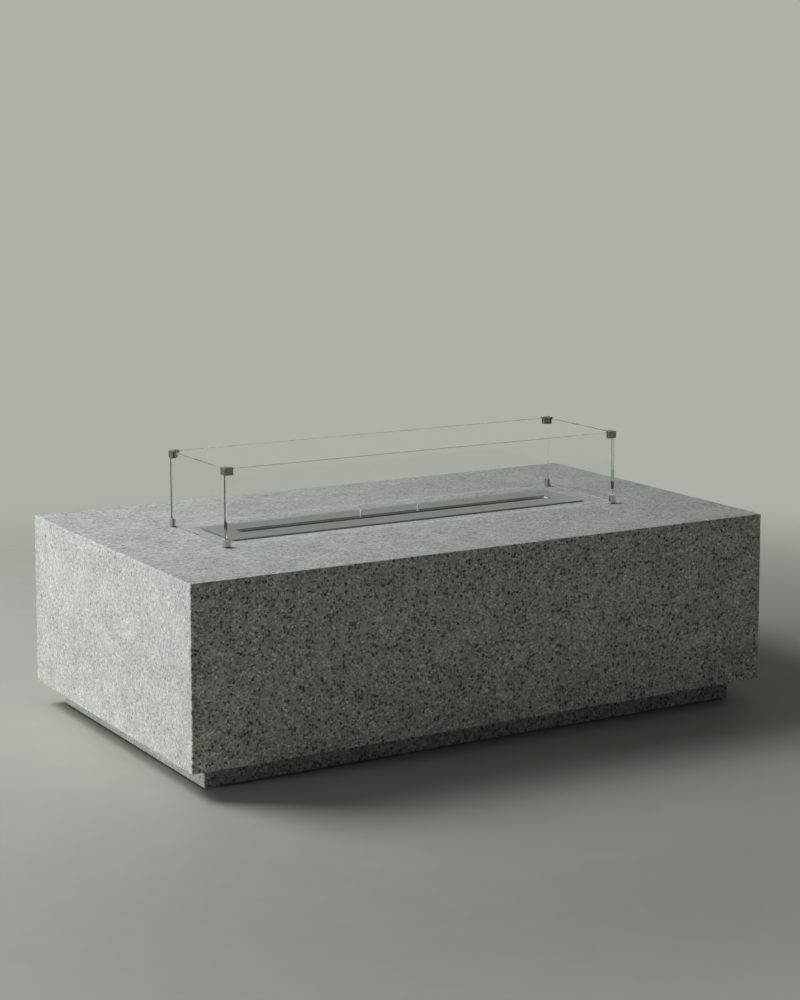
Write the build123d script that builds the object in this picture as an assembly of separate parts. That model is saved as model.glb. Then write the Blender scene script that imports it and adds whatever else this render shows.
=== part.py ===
from build123d import *
import os

# Fire pit: a hollow cast block on a set-back plinth, a slot burner let into its top and a glass wind guard.
# Millimetres. Origin on the floor under the middle, X along the length, -Y to the front, Z up.

# Cast block
BODY_LENGTH = 1380.0
BODY_WIDTH = 795.0
BODY_HEIGHT = 370.0
SIDE_WALL = 25.0
TOP_SLAB = 35.0
RETURN_THICKNESS = 30.0  # inward foot of the block, which stands on the plinth
ARRIS = 2.0  # eased edges of both castings

# Plinth ring and the pads under it
PLINTH_HEIGHT = 47.0
PLINTH_SETBACK = 47.0  # from the block's sides in to the plinth's sides
PLINTH_RING = 70.0  # width of the ring, seen from above
PAD_DIAMETER = 40.0
PAD_PROUD = 3.0  # shadow gap between floor and plinth
PAD_RECESS = 5.0
PAD_FIT = 0.2

# Bolts from the plinth up into the block
BOLT_DIAMETER = 10.0
BOLT_CLEARANCE = 0.5
HEAD_ACROSS_FLATS = 17.0
HEAD_HEIGHT = 6.4
WASHER_DIAMETER = 24.0
WASHER_THICKNESS = 2.0
HEAD_RECESS_DIAMETER = 28.0
HEAD_RECESS_DEPTH = 18.0
BOLT_INSERT_WALL = 3.0
BOLT_INSERT_COVER = 7.0  # concrete left above the insert
BOLT_END_GAP = 3.0  # from the bolt's end to the insert's end
THREAD_FIT = 0.05
BOLT_SPREAD = 2 / 3  # outer bolts of a long side, as a share of the way to the corner
PAD_SPREAD = 1 / 3  # inner pads of a long side, likewise

# Steel angles that stiffen the slab beside the cut-out
ANGLE_LEG = 30.0
ANGLE_THICKNESS = 4.0
ANGLE_SETBACK = 8.0  # from the cut-out's edge
ANGLE_OVERRUN = 60.0  # past each end of the cut-out
ANGLE_SCREW_DIAMETER = 6.0
ANGLE_SCREW_CLEARANCE = 0.3
ANGLE_SCREW_END_GAP = 3.0  # from the screw's end to the insert's end
ANGLE_SCREW_HEAD_DIAMETER = 11.0
ANGLE_SCREW_HEAD_HEIGHT = 4.0
ANGLE_SCREW_END = 30.0  # last screw to the angle's end
ANGLE_INSERT_WALL = 1.5
ANGLE_INSERT_COVER = 15.0  # concrete left above the insert
ANGLE_SCREWS = 4  # along each angle

# Burner slot and the shutter under it
SLOT_LENGTH = 785.0
SLOT_WIDTH = 32.0
SHUTTER_SHEET = 2.0
SHUTTER_OVERLAP = 12.3  # past the slot's far edge when shut
SHUTTER_LIP = 2.5  # in front of the pegs' middle
SHUTTER_END_CLEARANCE = 0.75
SHUTTER_GAP = 0.3  # above and below the sliding plate
PEG_DIAMETER = 4.0
PEG_STAND = 13.0  # above the burner plate
PEG_SPACING = 145.0
PEG_OFFSET = -15.0  # middle of the pair along the slot
PEG_CLEARANCE = 0.3
PEG_ROUND = 0.8
RAIL_SHEET = 1.5
RAIL_CLEARANCE = 0.5
FRONT_LEDGE = 9.0
LEDGE_SETBACK = 0.5  # behind the slot's edge, out of sight

# Burner plate, casing, tank and filling
PLATE_SHEET = 2.0
PLATE_CORNER = 2.0
PLATE_EDGE_ROUND = 0.8
PLATE_BEARING = 12.0  # on the concrete round the cut-out
GASKET_THICKNESS = 2.0
GASKET_INSET = 0.5  # from the cut-out's edge
GASKET_SETBACK = 4.0  # from the plate's edge, which leaves a shadow gap
TAB_SHEET = 2.0  # folded ends of the slot
TAB_DEPTH = 14.0
CASING_SHEET = 1.5
CASING_DEPTH = 110.0
CASING_CLEARANCE = 1.3
CASING_END_ROOM = 28.5
CUTOUT_CLEARANCE = 3.5
BEARER_WIDTH = 20.0
BEARER_HEIGHT = 6.0
BEARER_SPACING = 300.0
BEARERS = 3
TANK_SHEET = 1.5
TANK_HEIGHT = 84.0
TANK_CLEARANCE = 8.0
WOOL_HEIGHT = 50.0
WOOL_CLEARANCE = 0.3
WOOL_BLOCKS = 3
RETAINER_SHEET = 1.5
RETAINER_HOLE_DIAMETER = 10.0
RETAINER_PITCH = 24.0
RETAINER_MARGIN = 16.0

# Glass wind guard
GUARD_MARGIN_END = 47.5  # from the burner plate's end to the guard's outside
GUARD_MARGIN_SIDE = 59.0
GUARD_HEIGHT = 165.0
PANE_THICKNESS = 6.0
PANE_ARRIS = 0.6
LINER_THICKNESS = 0.5
CLIP_LEG = 20.0  # top clips; the foot clips are square posts
CLIP_HEIGHT = 16.0
CLIP_OUTER_WALL = 2.0
CLIP_INNER_WALL = 4.0
CLIP_CAP = 2.0
CLIP_ARRIS = 0.5
FOOT_HEIGHT = 2.0
FOOT_INSET = 0.75
GRUB_DIAMETER = 5.0
GRUB_PROUD = 0.3
GRUB_FIT = 0.03
GRUB_SOCKET = 2.5
GRUB_SOCKET_DEPTH = 2.0
GRUB_END_DISTANCE = 4.0  # screw's middle to the end of the clip's leg

# Heights
plinth_base = PAD_PROUD
body_base = plinth_base + PLINTH_HEIGHT
body_top = body_base + BODY_HEIGHT
slab_under = body_top - TOP_SLAB
plate_under = body_top + GASKET_THICKNESS
plate_top = plate_under + PLATE_SHEET
shutter_top = plate_under - SHUTTER_GAP
shutter_under = shutter_top - SHUTTER_SHEET
ledge_top = shutter_under - SHUTTER_GAP
casing_base = plate_under - CASING_DEPTH
casing_floor = casing_base + CASING_SHEET
tank_base = casing_floor + BEARER_HEIGHT
wool_base = tank_base + TANK_SHEET
wool_top = wool_base + WOOL_HEIGHT
guard_top = body_top + GUARD_HEIGHT
foot_clip_base = body_top + FOOT_HEIGHT
top_clip_base = guard_top - CLIP_HEIGHT

# Half sizes of the castings
body_half_x = BODY_LENGTH / 2
body_half_y = BODY_WIDTH / 2
plinth_half_x = body_half_x - PLINTH_SETBACK
plinth_half_y = body_half_y - PLINTH_SETBACK
opening_half_x = plinth_half_x - PLINTH_RING
opening_half_y = plinth_half_y - PLINTH_RING
ring_mid_x = plinth_half_x - PLINTH_RING / 2
ring_mid_y = plinth_half_y - PLINTH_RING / 2

# Burner sizes, worked outwards from the slot
slot_half_x = SLOT_LENGTH / 2
slot_half_y = SLOT_WIDTH / 2
shutter_travel = SLOT_WIDTH - PEG_DIAMETER - 2 * PEG_CLEARANCE
peg_y = slot_half_y - PEG_CLEARANCE - PEG_DIAMETER / 2
shutter_front = peg_y - SHUTTER_LIP
shutter_back = slot_half_y + SHUTTER_OVERLAP + shutter_travel
rear_rail_back = shutter_back + RAIL_CLEARANCE + RAIL_SHEET
casing_half_x = slot_half_x + TAB_SHEET + CASING_END_ROOM + CASING_SHEET
casing_half_y = rear_rail_back + CASING_CLEARANCE + CASING_SHEET
cutout_half_x = casing_half_x + CUTOUT_CLEARANCE
cutout_half_y = casing_half_y + CUTOUT_CLEARANCE
plate_half_x = cutout_half_x + PLATE_BEARING
plate_half_y = cutout_half_y + PLATE_BEARING
tank_half_x = casing_half_x - CASING_SHEET - TANK_CLEARANCE
tank_half_y = casing_half_y - CASING_SHEET - TANK_CLEARANCE
wool_half_x = tank_half_x - TANK_SHEET - WOOL_CLEARANCE
wool_half_y = tank_half_y - TANK_SHEET - WOOL_CLEARANCE

# Guard sizes
guard_half_x = plate_half_x + GUARD_MARGIN_END
guard_half_y = plate_half_y + GUARD_MARGIN_SIDE
slot_gap = PANE_THICKNESS + 2 * LINER_THICKNESS  # glass and its liner in a clip
clip_depth = CLIP_OUTER_WALL + slot_gap + CLIP_INNER_WALL
pane_inset = CLIP_OUTER_WALL + LINER_THICKNESS
pane_base = foot_clip_base + CLIP_CAP + LINER_THICKNESS
pane_top = guard_top - CLIP_CAP - LINER_THICKNESS
grub_height = (top_clip_base + guard_top - CLIP_CAP) / 2

SIDES = {"left": -1, "right": 1}
DEPTHS = {"front": -1, "back": 1}
nodes = {}


def block(x0, x1, y0, y1, z0, z1):
    middle = Pos((x0 + x1) / 2, (y0 + y1) / 2, (z0 + z1) / 2)
    return middle * Box(abs(x1 - x0), abs(y1 - y0), z1 - z0)


def slab(half_x, half_y, z0, z1):
    return block(-half_x, half_x, -half_y, half_y, z0, z1)


def upright(x, y, diameter, z0, z1):
    return Pos(x, y, (z0 + z1) / 2) * Cylinder(diameter / 2, z1 - z0)


def tray(half_x, half_y, z0, z1, sheet):
    return slab(half_x, half_y, z0, z1) - slab(half_x - sheet, half_y - sheet, z0 + sheet, z1)


def hexagon(x, y, across_flats, z0, z1):
    outline = RegularPolygon(across_flats / 2, 6, major_radius=False)
    return Pos(x, y, z0) * extrude(outline, amount=z1 - z0)


def group(solids):
    return Compound(children=list(solids))


def spread(count, half_span):
    if count == 1:
        return [0.0]
    return [half_span * (2 * i / (count - 1) - 1) for i in range(count)]


# Places of the fasteners and pads
bolt_places = [(0.0, y) for y in (-ring_mid_y, ring_mid_y)]
bolt_places += [(x, 0.0) for x in (-ring_mid_x, ring_mid_x)]
corners = [(sx, sy) for sx in SIDES.values() for sy in DEPTHS.values()]
bolt_places += [(sx * ring_mid_x * BOLT_SPREAD, sy * ring_mid_y) for sx, sy in corners]
pad_places = [(sx * ring_mid_x, sy * ring_mid_y) for sx, sy in corners]
pad_places += [(sx * ring_mid_x * PAD_SPREAD, sy * ring_mid_y) for sx, sy in corners]
angle_half_x = cutout_half_x + ANGLE_OVERRUN
angle_near_y = cutout_half_y + ANGLE_SETBACK
angle_screw_y = angle_near_y + (ANGLE_THICKNESS + ANGLE_LEG) / 2
angle_screw_xs = spread(ANGLE_SCREWS, angle_half_x - ANGLE_SCREW_END)
angle_screw_places = [(x, sy * angle_screw_y) for sy in DEPTHS.values() for x in angle_screw_xs]
bolt_insert_diameter = BOLT_DIAMETER + 2 * BOLT_INSERT_WALL
bolt_insert_length = RETURN_THICKNESS - BOLT_INSERT_COVER
angle_insert_diameter = ANGLE_SCREW_DIAMETER + 2 * ANGLE_INSERT_WALL
angle_insert_length = TOP_SLAB - ANGLE_INSERT_COVER


# Cast block: hollow, with a cut-out for the burner and an open underside inside its foot
def concrete_body():
    casting = slab(body_half_x, body_half_y, body_base, body_top)
    casting = chamfer(casting.edges(), ARRIS)
    foot_top = body_base + RETURN_THICKNESS
    casting -= slab(body_half_x - SIDE_WALL, body_half_y - SIDE_WALL, foot_top, slab_under)
    casting -= slab(opening_half_x, opening_half_y, body_base, foot_top)
    casting -= slab(cutout_half_x, cutout_half_y, slab_under, body_top)
    for x, y in bolt_places:
        casting -= upright(x, y, bolt_insert_diameter, body_base, body_base + bolt_insert_length)
    for x, y in angle_screw_places:
        casting -= upright(x, y, angle_insert_diameter, slab_under, slab_under + angle_insert_length)
    return casting


# Plinth: a cast ring, with recesses underneath for the bolt heads and the pads
def concrete_plinth():
    ring = slab(plinth_half_x, plinth_half_y, plinth_base, body_base)
    lower_edges = ring.edges().filter_by(Axis.Z) + ring.faces().sort_by(Axis.Z)[0].edges()
    ring = chamfer(lower_edges, ARRIS)
    ring -= slab(opening_half_x, opening_half_y, plinth_base, body_base)
    for x, y in bolt_places:
        ring -= upright(x, y, BOLT_DIAMETER + 2 * BOLT_CLEARANCE, plinth_base, body_base)
        ring -= upright(x, y, HEAD_RECESS_DIAMETER, plinth_base, plinth_base + HEAD_RECESS_DEPTH)
    for x, y in pad_places:
        ring -= upright(x, y, PAD_DIAMETER + 2 * PAD_FIT, plinth_base, plinth_base + PAD_RECESS)
    return ring


# Bolts, washers, cast-in inserts and floor pads
def plinth_bolt(x, y):
    seat = plinth_base + HEAD_RECESS_DEPTH - WASHER_THICKNESS
    head = hexagon(x, y, HEAD_ACROSS_FLATS, seat - HEAD_HEIGHT, seat)
    tip = body_base + bolt_insert_length - BOLT_END_GAP
    return head + upright(x, y, BOLT_DIAMETER, seat, tip)


def plinth_washer(x, y):
    top = plinth_base + HEAD_RECESS_DEPTH
    disc = upright(x, y, WASHER_DIAMETER, top - WASHER_THICKNESS, top)
    return disc - upright(x, y, BOLT_DIAMETER + BOLT_CLEARANCE, top - WASHER_THICKNESS, top)


def threaded_insert(x, y, outside, bore, z0, length):
    return upright(x, y, outside, z0, z0 + length) - upright(x, y, bore, z0, z0 + length)


def bolt_insert(x, y):
    bore = BOLT_DIAMETER + 2 * THREAD_FIT
    return threaded_insert(x, y, bolt_insert_diameter, bore, body_base, bolt_insert_length)


def floor_pad(x, y):
    return upright(x, y, PAD_DIAMETER, 0.0, plinth_base + PAD_RECESS)


# Angles under the slab, one in front of the cut-out and one behind it
def cutout_angle(sy):
    near = sy * angle_near_y
    flat_leg = block(-angle_half_x, angle_half_x, near, near + sy * ANGLE_LEG,
                     slab_under - ANGLE_THICKNESS, slab_under)
    hanging_leg = block(-angle_half_x, angle_half_x, near, near + sy * ANGLE_THICKNESS,
                        slab_under - ANGLE_LEG, slab_under)
    angle = flat_leg + hanging_leg
    for x in angle_screw_xs:
        hole = ANGLE_SCREW_DIAMETER + 2 * ANGLE_SCREW_CLEARANCE
        angle -= upright(x, sy * angle_screw_y, hole, slab_under - ANGLE_THICKNESS, slab_under)
    return angle


def angle_screw(x, y):
    seat = slab_under - ANGLE_THICKNESS
    head = upright(x, y, ANGLE_SCREW_HEAD_DIAMETER, seat - ANGLE_SCREW_HEAD_HEIGHT, seat)
    tip = slab_under + angle_insert_length - ANGLE_SCREW_END_GAP
    return head + upright(x, y, ANGLE_SCREW_DIAMETER, seat, tip)


def angle_insert(x, y):
    bore = ANGLE_SCREW_DIAMETER + 2 * THREAD_FIT
    return threaded_insert(x, y, angle_insert_diameter, bore, slab_under, angle_insert_length)


# Burner plate with its slot and the slot's folded ends
def burner_plate():
    plate = slab(plate_half_x, plate_half_y, plate_under, plate_top)
    plate = fillet(plate.edges().filter_by(Axis.Z), PLATE_CORNER)
    plate = fillet(plate.faces().sort_by(Axis.Z)[-1].edges(), PLATE_EDGE_ROUND)
    plate -= slab(slot_half_x, slot_half_y, plate_under, plate_top)
    for sx in SIDES.values():
        plate += block(sx * slot_half_x, sx * (slot_half_x + TAB_SHEET), -slot_half_y, slot_half_y,
                       plate_under - TAB_DEPTH, plate_under)
    return plate


def burner_gasket():
    strip = slab(plate_half_x - GASKET_SETBACK, plate_half_y - GASKET_SETBACK, body_top, plate_under)
    return strip - slab(cutout_half_x + GASKET_INSET, cutout_half_y + GASKET_INSET, body_top, plate_under)


# Rails that carry the shutter in front of the slot and behind it
def shutter_rail(ledge_near, ledge_far, wall_far):
    ledge = block(-slot_half_x, slot_half_x, ledge_near, wall_far, ledge_top - RAIL_SHEET, ledge_top)
    wall = block(-slot_half_x, slot_half_x, ledge_far, wall_far, ledge_top - RAIL_SHEET, plate_under)
    return ledge + wall


def front_rail():
    near = -(slot_half_y + LEDGE_SETBACK)
    far = near - FRONT_LEDGE
    return shutter_rail(near, far, far - RAIL_SHEET)


def rear_rail():
    near = slot_half_y + LEDGE_SETBACK
    return shutter_rail(near, rear_rail_back - RAIL_SHEET, rear_rail_back)


# Shutter parked open behind the slot, with two pegs to draw it shut
def shutter_plate():
    half_x = slot_half_x - SHUTTER_END_CLEARANCE
    return block(-half_x, half_x, shutter_front, shutter_back, shutter_under, shutter_top)


def shutter_peg(sx):
    x = PEG_OFFSET + sx * PEG_SPACING / 2
    peg = upright(x, peg_y, PEG_DIAMETER, shutter_top, plate_top + PEG_STAND)
    return fillet(peg.edges().sort_by(Axis.Z)[-1], PEG_ROUND)


# Casing, tank and the fibre filling with its perforated cover
def tank_bearer(x):
    half = BEARER_WIDTH / 2
    return block(x - half, x + half, -tank_half_y, tank_half_y, casing_floor, tank_base)


def wool_block(index):
    length = (2 * wool_half_x - (WOOL_BLOCKS - 1) * WOOL_CLEARANCE) / WOOL_BLOCKS
    start = -wool_half_x + index * (length + WOOL_CLEARANCE)
    return block(start, start + length, -wool_half_y, wool_half_y, wool_base, wool_top)


def wool_retainer():
    cover_top = wool_top + RETAINER_SHEET
    cover = slab(wool_half_x, wool_half_y, wool_top, cover_top)
    span_x = wool_half_x - RETAINER_MARGIN
    span_y = wool_half_y - RETAINER_MARGIN
    columns = max(2, round(2 * span_x / RETAINER_PITCH) + 1)
    rows = max(2, round(2 * span_y / RETAINER_PITCH) + 1)
    holes = [upright(x, y, RETAINER_HOLE_DIAMETER, wool_top, cover_top)
             for x in spread(columns, span_x) for y in spread(rows, span_y)]
    return cover - holes


# Guard panes: the long ones run to the corners, the short ones stand between them
def long_pane(sy):
    outer = guard_half_y - pane_inset
    pane = block(-(guard_half_x - pane_inset), guard_half_x - pane_inset,
                 sy * outer, sy * (outer - PANE_THICKNESS), pane_base, pane_top)
    return chamfer(pane.edges(), PANE_ARRIS)


def short_pane(sx):
    outer = guard_half_x - pane_inset
    half_y = guard_half_y - pane_inset - PANE_THICKNESS - LINER_THICKNESS
    pane = block(sx * outer, sx * (outer - PANE_THICKNESS), -half_y, half_y, pane_base, pane_top)
    return chamfer(pane.edges(), PANE_ARRIS)


# A block measured inwards from the guard's outer corner, u along X and v along Y
def corner_block(sx, sy, u0, u1, v0, v1, z0, z1):
    return block(sx * (guard_half_x - u0), sx * (guard_half_x - u1),
                 sy * (guard_half_y - v0), sy * (guard_half_y - v1), z0, z1)


def corner_angle(sx, sy, inset, leg, depth, z0, z1):
    along_x = corner_block(sx, sy, inset, leg, inset, depth, z0, z1)
    along_y = corner_block(sx, sy, inset, depth, inset, leg, z0, z1)
    return along_x + along_y


# Height span of a clip's glass groove: closed by the cap above or below
def groove_span(is_top):
    if is_top:
        return top_clip_base, guard_top - CLIP_CAP
    return foot_clip_base + CLIP_CAP, foot_clip_base + CLIP_HEIGHT


# Along both panes: an angle at the top, and a square post as wide as the clip is deep at the foot
def clip_leg(is_top):
    return CLIP_LEG if is_top else clip_depth


# Round bar through both inner walls of a top clip, one along Y and one along X
def grub_bars(sx, sy, diameter, v0, v1):
    u = CLIP_LEG - GRUB_END_DISTANCE
    length = v1 - v0
    middle = (v0 + v1) / 2
    along_y = Pos(sx * (guard_half_x - u), sy * (guard_half_y - middle), grub_height)
    along_x = Pos(sx * (guard_half_x - middle), sy * (guard_half_y - u), grub_height)
    return [along_y * Rot(90, 0, 0) * Cylinder(diameter / 2, length),
            along_x * Rot(0, 90, 0) * Cylinder(diameter / 2, length)]


def corner_clip(sx, sy, is_top):
    base = top_clip_base if is_top else foot_clip_base
    leg = clip_leg(is_top)
    clip = corner_angle(sx, sy, 0.0, leg, clip_depth, base, base + CLIP_HEIGHT)
    clip = chamfer(clip.edges(), CLIP_ARRIS)
    low, high = groove_span(is_top)
    groove_depth = CLIP_OUTER_WALL + slot_gap
    clip -= corner_angle(sx, sy, CLIP_OUTER_WALL, leg, groove_depth, low, high)
    if is_top:
        clip -= grub_bars(sx, sy, GRUB_DIAMETER + 2 * GRUB_FIT, groove_depth, clip_depth)
    return clip


def clip_liner(sx, sy, is_top):
    low, high = groove_span(is_top)
    leg = clip_leg(is_top)
    inner = pane_inset + PANE_THICKNESS
    liner = corner_angle(sx, sy, CLIP_OUTER_WALL, leg, CLIP_OUTER_WALL + slot_gap, low, high)
    liner -= corner_block(sx, sy, pane_inset, leg, pane_inset, inner, pane_base, pane_top)
    liner -= corner_block(sx, sy, pane_inset, inner, inner + LINER_THICKNESS, leg, pane_base, pane_top)
    return liner


def clip_grubs(sx, sy):
    near = CLIP_OUTER_WALL + slot_gap
    far = clip_depth + GRUB_PROUD
    bars = grub_bars(sx, sy, GRUB_DIAMETER, near, far)
    sockets = grub_bars(sx, sy, GRUB_SOCKET, far - GRUB_SOCKET_DEPTH, far)
    return [bar - socket for bar, socket in zip(bars, sockets)]


def guard_foot(sx, sy):
    side = clip_depth - FOOT_INSET
    return corner_block(sx, sy, FOOT_INSET, side, FOOT_INSET, side, body_top, foot_clip_base)


# The whole fire pit, node by node
nodes["concrete_body"] = concrete_body()
nodes["concrete_plinth"] = concrete_plinth()
nodes["plinth_bolts"] = group(plinth_bolt(x, y) for x, y in bolt_places)
nodes["plinth_washers"] = group(plinth_washer(x, y) for x, y in bolt_places)
nodes["bolt_inserts"] = group(bolt_insert(x, y) for x, y in bolt_places)
nodes["floor_pads"] = group(floor_pad(x, y) for x, y in pad_places)
nodes["angle_screws"] = group(angle_screw(x, y) for x, y in angle_screw_places)
nodes["angle_inserts"] = group(angle_insert(x, y) for x, y in angle_screw_places)
nodes["burner_plate"] = burner_plate()
nodes["burner_gasket"] = burner_gasket()
nodes["burner_casing"] = tray(casing_half_x, casing_half_y, casing_base, plate_under, CASING_SHEET)
nodes["fuel_tank"] = tray(tank_half_x, tank_half_y, tank_base, tank_base + TANK_HEIGHT, TANK_SHEET)
nodes["tank_bearers"] = group(tank_bearer(x) for x in spread(BEARERS, BEARER_SPACING))
nodes["wool_retainer"] = wool_retainer()
nodes["shutter_rail_front"] = front_rail()
nodes["shutter_rail_rear"] = rear_rail()
nodes["shutter_plate"] = shutter_plate()
for index in range(WOOL_BLOCKS):
    nodes[f"ceramic_wool_{index + 1}"] = wool_block(index)

for depth_name, sy in DEPTHS.items():
    nodes[f"cutout_angle_{depth_name}"] = cutout_angle(sy)
    nodes[f"glass_pane_{depth_name}"] = long_pane(sy)
for side_name, sx in SIDES.items():
    nodes[f"glass_pane_{side_name}"] = short_pane(sx)
    nodes[f"shutter_peg_{side_name}"] = shutter_peg(sx)

liners = []
grubs = []
feet = []
for depth_name, sy in DEPTHS.items():
    for side_name, sx in SIDES.items():
        feet.append(guard_foot(sx, sy))
        grubs += clip_grubs(sx, sy)
        for level_name, is_top in {"top": True, "foot": False}.items():
            nodes[f"{level_name}_clip_{depth_name}_{side_name}"] = corner_clip(sx, sy, is_top)
            liners.append(clip_liner(sx, sy, is_top))
nodes["clip_liners"] = group(liners)
nodes["clip_grub_screws"] = group(grubs)
nodes["guard_feet"] = group(feet)

os.makedirs("parts", exist_ok=True)
for name, shape in nodes.items():
    export_step(shape, f"parts/{name}.step")
print(f"nodes {len(nodes)}, shutter travel {shutter_travel:.2f} mm")
print(f"burner plate {2 * plate_half_x:.1f} by {2 * plate_half_y:.1f} mm")
print(f"guard {2 * guard_half_x:.1f} by {2 * guard_half_y:.1f} mm")
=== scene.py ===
import math

import bpy
import numpy as np
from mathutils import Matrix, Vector


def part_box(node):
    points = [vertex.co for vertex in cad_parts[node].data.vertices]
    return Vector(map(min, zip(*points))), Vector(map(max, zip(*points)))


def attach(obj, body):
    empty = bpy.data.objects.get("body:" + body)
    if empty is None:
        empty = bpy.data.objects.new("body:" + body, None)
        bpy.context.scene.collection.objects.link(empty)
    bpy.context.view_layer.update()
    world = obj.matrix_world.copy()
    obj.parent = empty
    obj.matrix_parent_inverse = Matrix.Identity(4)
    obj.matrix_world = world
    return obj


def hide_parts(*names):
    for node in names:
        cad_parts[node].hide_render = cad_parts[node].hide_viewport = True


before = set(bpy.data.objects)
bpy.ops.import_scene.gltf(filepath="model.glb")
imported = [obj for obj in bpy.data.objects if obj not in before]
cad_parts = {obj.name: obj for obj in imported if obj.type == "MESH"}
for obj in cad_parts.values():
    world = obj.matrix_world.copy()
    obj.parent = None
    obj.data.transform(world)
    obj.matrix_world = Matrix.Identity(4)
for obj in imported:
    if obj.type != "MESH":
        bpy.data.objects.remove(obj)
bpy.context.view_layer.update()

print("frame loaded:", len(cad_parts), "nodes")


# mesh helpers

def gridMesh(name, points, closeRows=False, capEnds=False):
    # Joins a rows by columns grid into quads. Columns always close into a loop. Rows close when the
    # section is a loop, or else each end may be closed by a fan to the middle of its last loop.
    rows, cols = points.shape[:2]
    lower = np.arange(rows if closeRows else rows - 1)[:, None]
    upper = (lower + 1) % rows
    here = np.arange(cols)[None, :]
    after = (here + 1) % cols
    quads = np.stack([lower * cols + here, lower * cols + after,
                      upper * cols + after, upper * cols + here], axis=-1).reshape(-1)
    places = points.reshape(-1, 3)
    corners = quads
    starts = np.arange(len(quads) // 4) * 4
    if capEnds:
        places = np.vstack([places, points[0].mean(axis=0), points[-1].mean(axis=0)])
        low = np.full(cols, rows * cols)
        high = low + 1
        ring = np.arange(cols)
        follow = (ring + 1) % cols
        last = (rows - 1) * cols
        fans = np.vstack([np.stack([low, follow, ring], axis=-1),
                          np.stack([high, last + ring, last + follow], axis=-1)])
        starts = np.concatenate([starts, len(quads) + np.arange(len(fans)) * 3])
        corners = np.concatenate([quads, fans.reshape(-1)])
    mesh = bpy.data.meshes.new(name)
    mesh.vertices.add(len(places))
    mesh.vertices.foreach_set("co", places.astype(np.float32).reshape(-1))
    mesh.loops.add(len(corners))
    mesh.loops.foreach_set("vertex_index", corners.astype(np.int32))
    mesh.polygons.add(len(starts))
    mesh.polygons.foreach_set("loop_start", starts.astype(np.int32))
    mesh.polygons.foreach_set("use_smooth", np.ones(len(starts), dtype=bool))
    mesh.update(calc_edges=True)
    mesh.validate()
    return mesh


def placeMesh(mesh, finish):
    piece = bpy.data.objects.new(mesh.name, mesh)
    bpy.context.scene.collection.objects.link(piece)
    mesh.materials.append(finish)
    return piece


def loopColumns(alongX, alongY, perCorner):
    # Parameters of a rounded rectangle, anticlockwise from above: u and v run over a square from -1 to 1,
    # and the angle is the outward direction, so a point is u * (a - r) + r * cos, v * (b - r) + r * sin.
    acrossX = (np.arange(1, alongX) / alongX) * 2 - 1
    acrossY = (np.arange(1, alongY) / alongY) * 2 - 1
    bend = np.linspace(0.0, math.pi / 2, perCorner)
    u, v, angle = [], [], []
    sides = [(acrossX, -1.0, -math.pi / 2), (1.0, acrossY, 0.0),
             (-acrossX, 1.0, math.pi / 2), (-1.0, -acrossY, math.pi)]
    ends = [(1.0, -1.0), (1.0, 1.0), (-1.0, 1.0), (-1.0, -1.0)]
    for (sideU, sideV, facing), (endU, endV) in zip(sides, ends):
        count = np.size(sideU) * np.size(sideV)
        u += [np.broadcast_to(sideU, count), np.full(perCorner, endU)]
        v += [np.broadcast_to(sideV, count), np.full(perCorner, endV)]
        angle += [np.full(count, facing), facing + bend]
    return np.concatenate(u), np.concatenate(v), np.concatenate(angle)


def loftLoops(rows, columns):
    # rows holds half length a, half width b, corner radius r and height z of each loop
    u, v, angle = columns
    a, b, r, z = (rows[:, i, None] for i in range(4))
    x = u * (a - r) + r * np.cos(angle)
    y = v * (b - r) + r * np.sin(angle)
    return np.stack([x, y, np.broadcast_to(z, x.shape)], axis=-1)


def runRows(start, stop, count):
    # evenly spaced loops from start towards stop, without stop itself
    return np.linspace(start, stop, count, endpoint=False)


# node helpers

def addNode(tree, kind, **settings):
    node = tree.nodes.new("ShaderNode" + kind)
    for name, value in settings.items():
        setattr(node, name, value)
    return node


def feed(tree, socket, value):
    if isinstance(value, bpy.types.NodeSocket):
        tree.links.new(value, socket)
    else:
        socket.default_value = value


def calc(tree, operation, *values):
    node = addNode(tree, "Math", operation=operation)
    for socket, value in zip(node.inputs, values):
        feed(tree, socket, value)
    return node.outputs[0]


def mixColour(tree, share, first, second, mode="MIX"):
    # sockets 6, 7 and 2 are the node's colours
    node = addNode(tree, "Mix", data_type="RGBA", blend_type=mode)
    feed(tree, node.inputs[0], share)
    feed(tree, node.inputs[6], first)
    feed(tree, node.inputs[7], second)
    return node.outputs[2]


def shade(tree, colour, level):
    grey = addNode(tree, "CombineXYZ")
    for axis in range(3):
        feed(tree, grey.inputs[axis], level)
    return mixColour(tree, 1.0, colour, grey.outputs[0], "MULTIPLY")


def ease(tree, value, low, high, outLow=0.0, outHigh=1.0):
    node = addNode(tree, "MapRange", interpolation_type="SMOOTHSTEP")
    feed(tree, node.inputs["Value"], value)
    feed(tree, node.inputs["From Min"], low)
    feed(tree, node.inputs["From Max"], high)
    feed(tree, node.inputs["To Min"], outLow)
    feed(tree, node.inputs["To Max"], outHigh)
    return node.outputs["Result"]


def noise(tree, vector, scale, detail=2.0, roughness=0.5):
    node = addNode(tree, "TexNoise")
    feed(tree, node.inputs["Vector"], vector)
    feed(tree, node.inputs["Scale"], scale)
    feed(tree, node.inputs["Detail"], detail)
    feed(tree, node.inputs["Roughness"], roughness)
    return node


def cells(tree, vector, scale):
    # two random values of a cell, and the distance from its middle
    node = addNode(tree, "TexVoronoi", feature="F1")
    feed(tree, node.inputs["Vector"], vector)
    feed(tree, node.inputs["Scale"], scale)
    parts = addNode(tree, "SeparateColor")
    feed(tree, parts.inputs[0], node.outputs["Color"])
    return parts.outputs[0], parts.outputs[1], node.outputs["Distance"]


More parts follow.
